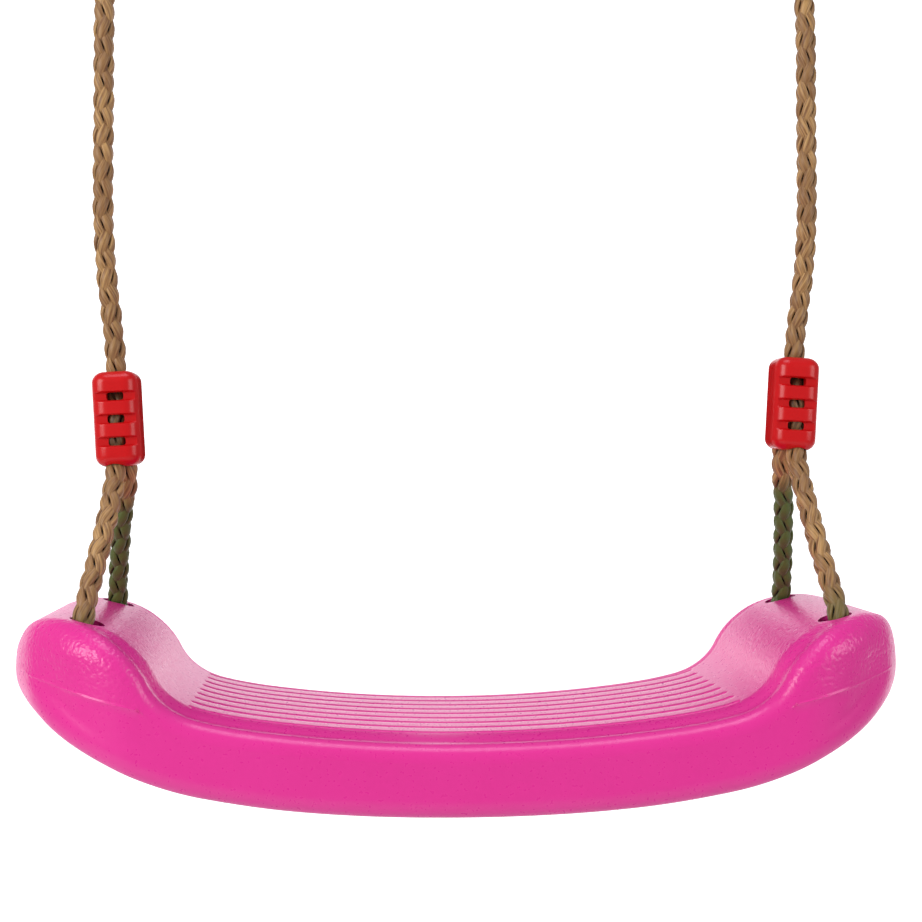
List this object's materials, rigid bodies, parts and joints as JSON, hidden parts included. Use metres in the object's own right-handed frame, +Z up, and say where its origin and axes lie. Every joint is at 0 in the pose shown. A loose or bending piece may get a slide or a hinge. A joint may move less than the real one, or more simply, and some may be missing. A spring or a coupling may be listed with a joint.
{
  "type": "moulded swing seat",
  "caption": "Curved hollow moulded swing seat with raised ends and a grooved top, hung on braided ropes that pass through moulded clamps and end in thimble eyes with snap hooks.",
  "frame": {"origin": "the hang point, midway between the inner tops of the two snap hooks, 505 mm above the middle of the seat", "axes": "+X along the seat towards its right end as the rider's front view shows it, -Y towards the front, +Z up"},
  "size_m": [0.43, 0.165, 0.5452],
  "materials": {
    "seat_polyethylene": "satin moulded, fine orange-peel grain",
    "rope_polyethylene": "braided monofilament and tape yarn, low sheen",
    "clamp_plastic": "glossy injection moulded",
    "zinc_plated_steel": "bright zinc plated",
    "ferrule_aluminium": "pressed, dull",
    "spring_steel": "drawn wire"
  },
  "bodies": {
    "hooks": {"hook_body_left": "zinc_plated_steel", "hook_body_right": "zinc_plated_steel"},
    "hangers": {"rope_upper_left": "rope_polyethylene", "thimble_left": "zinc_plated_steel", "ferrule_left": "ferrule_aluminium", "rope_upper_right": "rope_polyethylene", "thimble_right": "zinc_plated_steel", "ferrule_right": "ferrule_aluminium"},
    "seat": {"seat_shell": "seat_polyethylene", "rope_lower_left": "rope_polyethylene", "clamp_front_left": "clamp_plastic", "clamp_back_left": "clamp_plastic", "rope_lower_right": "rope_polyethylene", "clamp_front_right": "clamp_plastic", "clamp_back_right": "clamp_plastic"},
    "gate_left": {"hook_gate_left": "zinc_plated_steel", "gate_rivet_left": "zinc_plated_steel", "gate_spring_left": "spring_steel"},
    "gate_right": {"hook_gate_right": "zinc_plated_steel", "gate_rivet_right": "zinc_plated_steel", "gate_spring_right": "spring_steel"}
  },
  "joints": [
    {"name": "swing", "type": "hinge", "parent": "hooks", "child": "hangers", "pos_m": [0, 0, -0.0595], "axis": [1, 0, 0], "range_deg": [-45, 45]},
    {"name": "seat_tilt", "type": "hinge", "parent": "hangers", "child": "seat", "pos_m": [0, 0, -0.329], "axis": [0.9997, 0, 0.0237], "range_deg": [-20, 20]},
    {"name": "gate_left_open", "type": "hinge", "parent": "hooks", "child": "gate_left", "pos_m": [-0.18735, 0, -0.038], "axis": [0, 1, 0], "range_deg": [0, 22], "stiffness_Nm_per_rad": 0.05, "springref_deg": -20.05},
    {"name": "gate_right_open", "type": "hinge", "parent": "hooks", "child": "gate_right", "pos_m": [0.18735, 0, -0.038], "axis": [0, -1, 0], "range_deg": [0, 22], "stiffness_Nm_per_rad": 0.05, "springref_deg": -20.05}
  ]
}
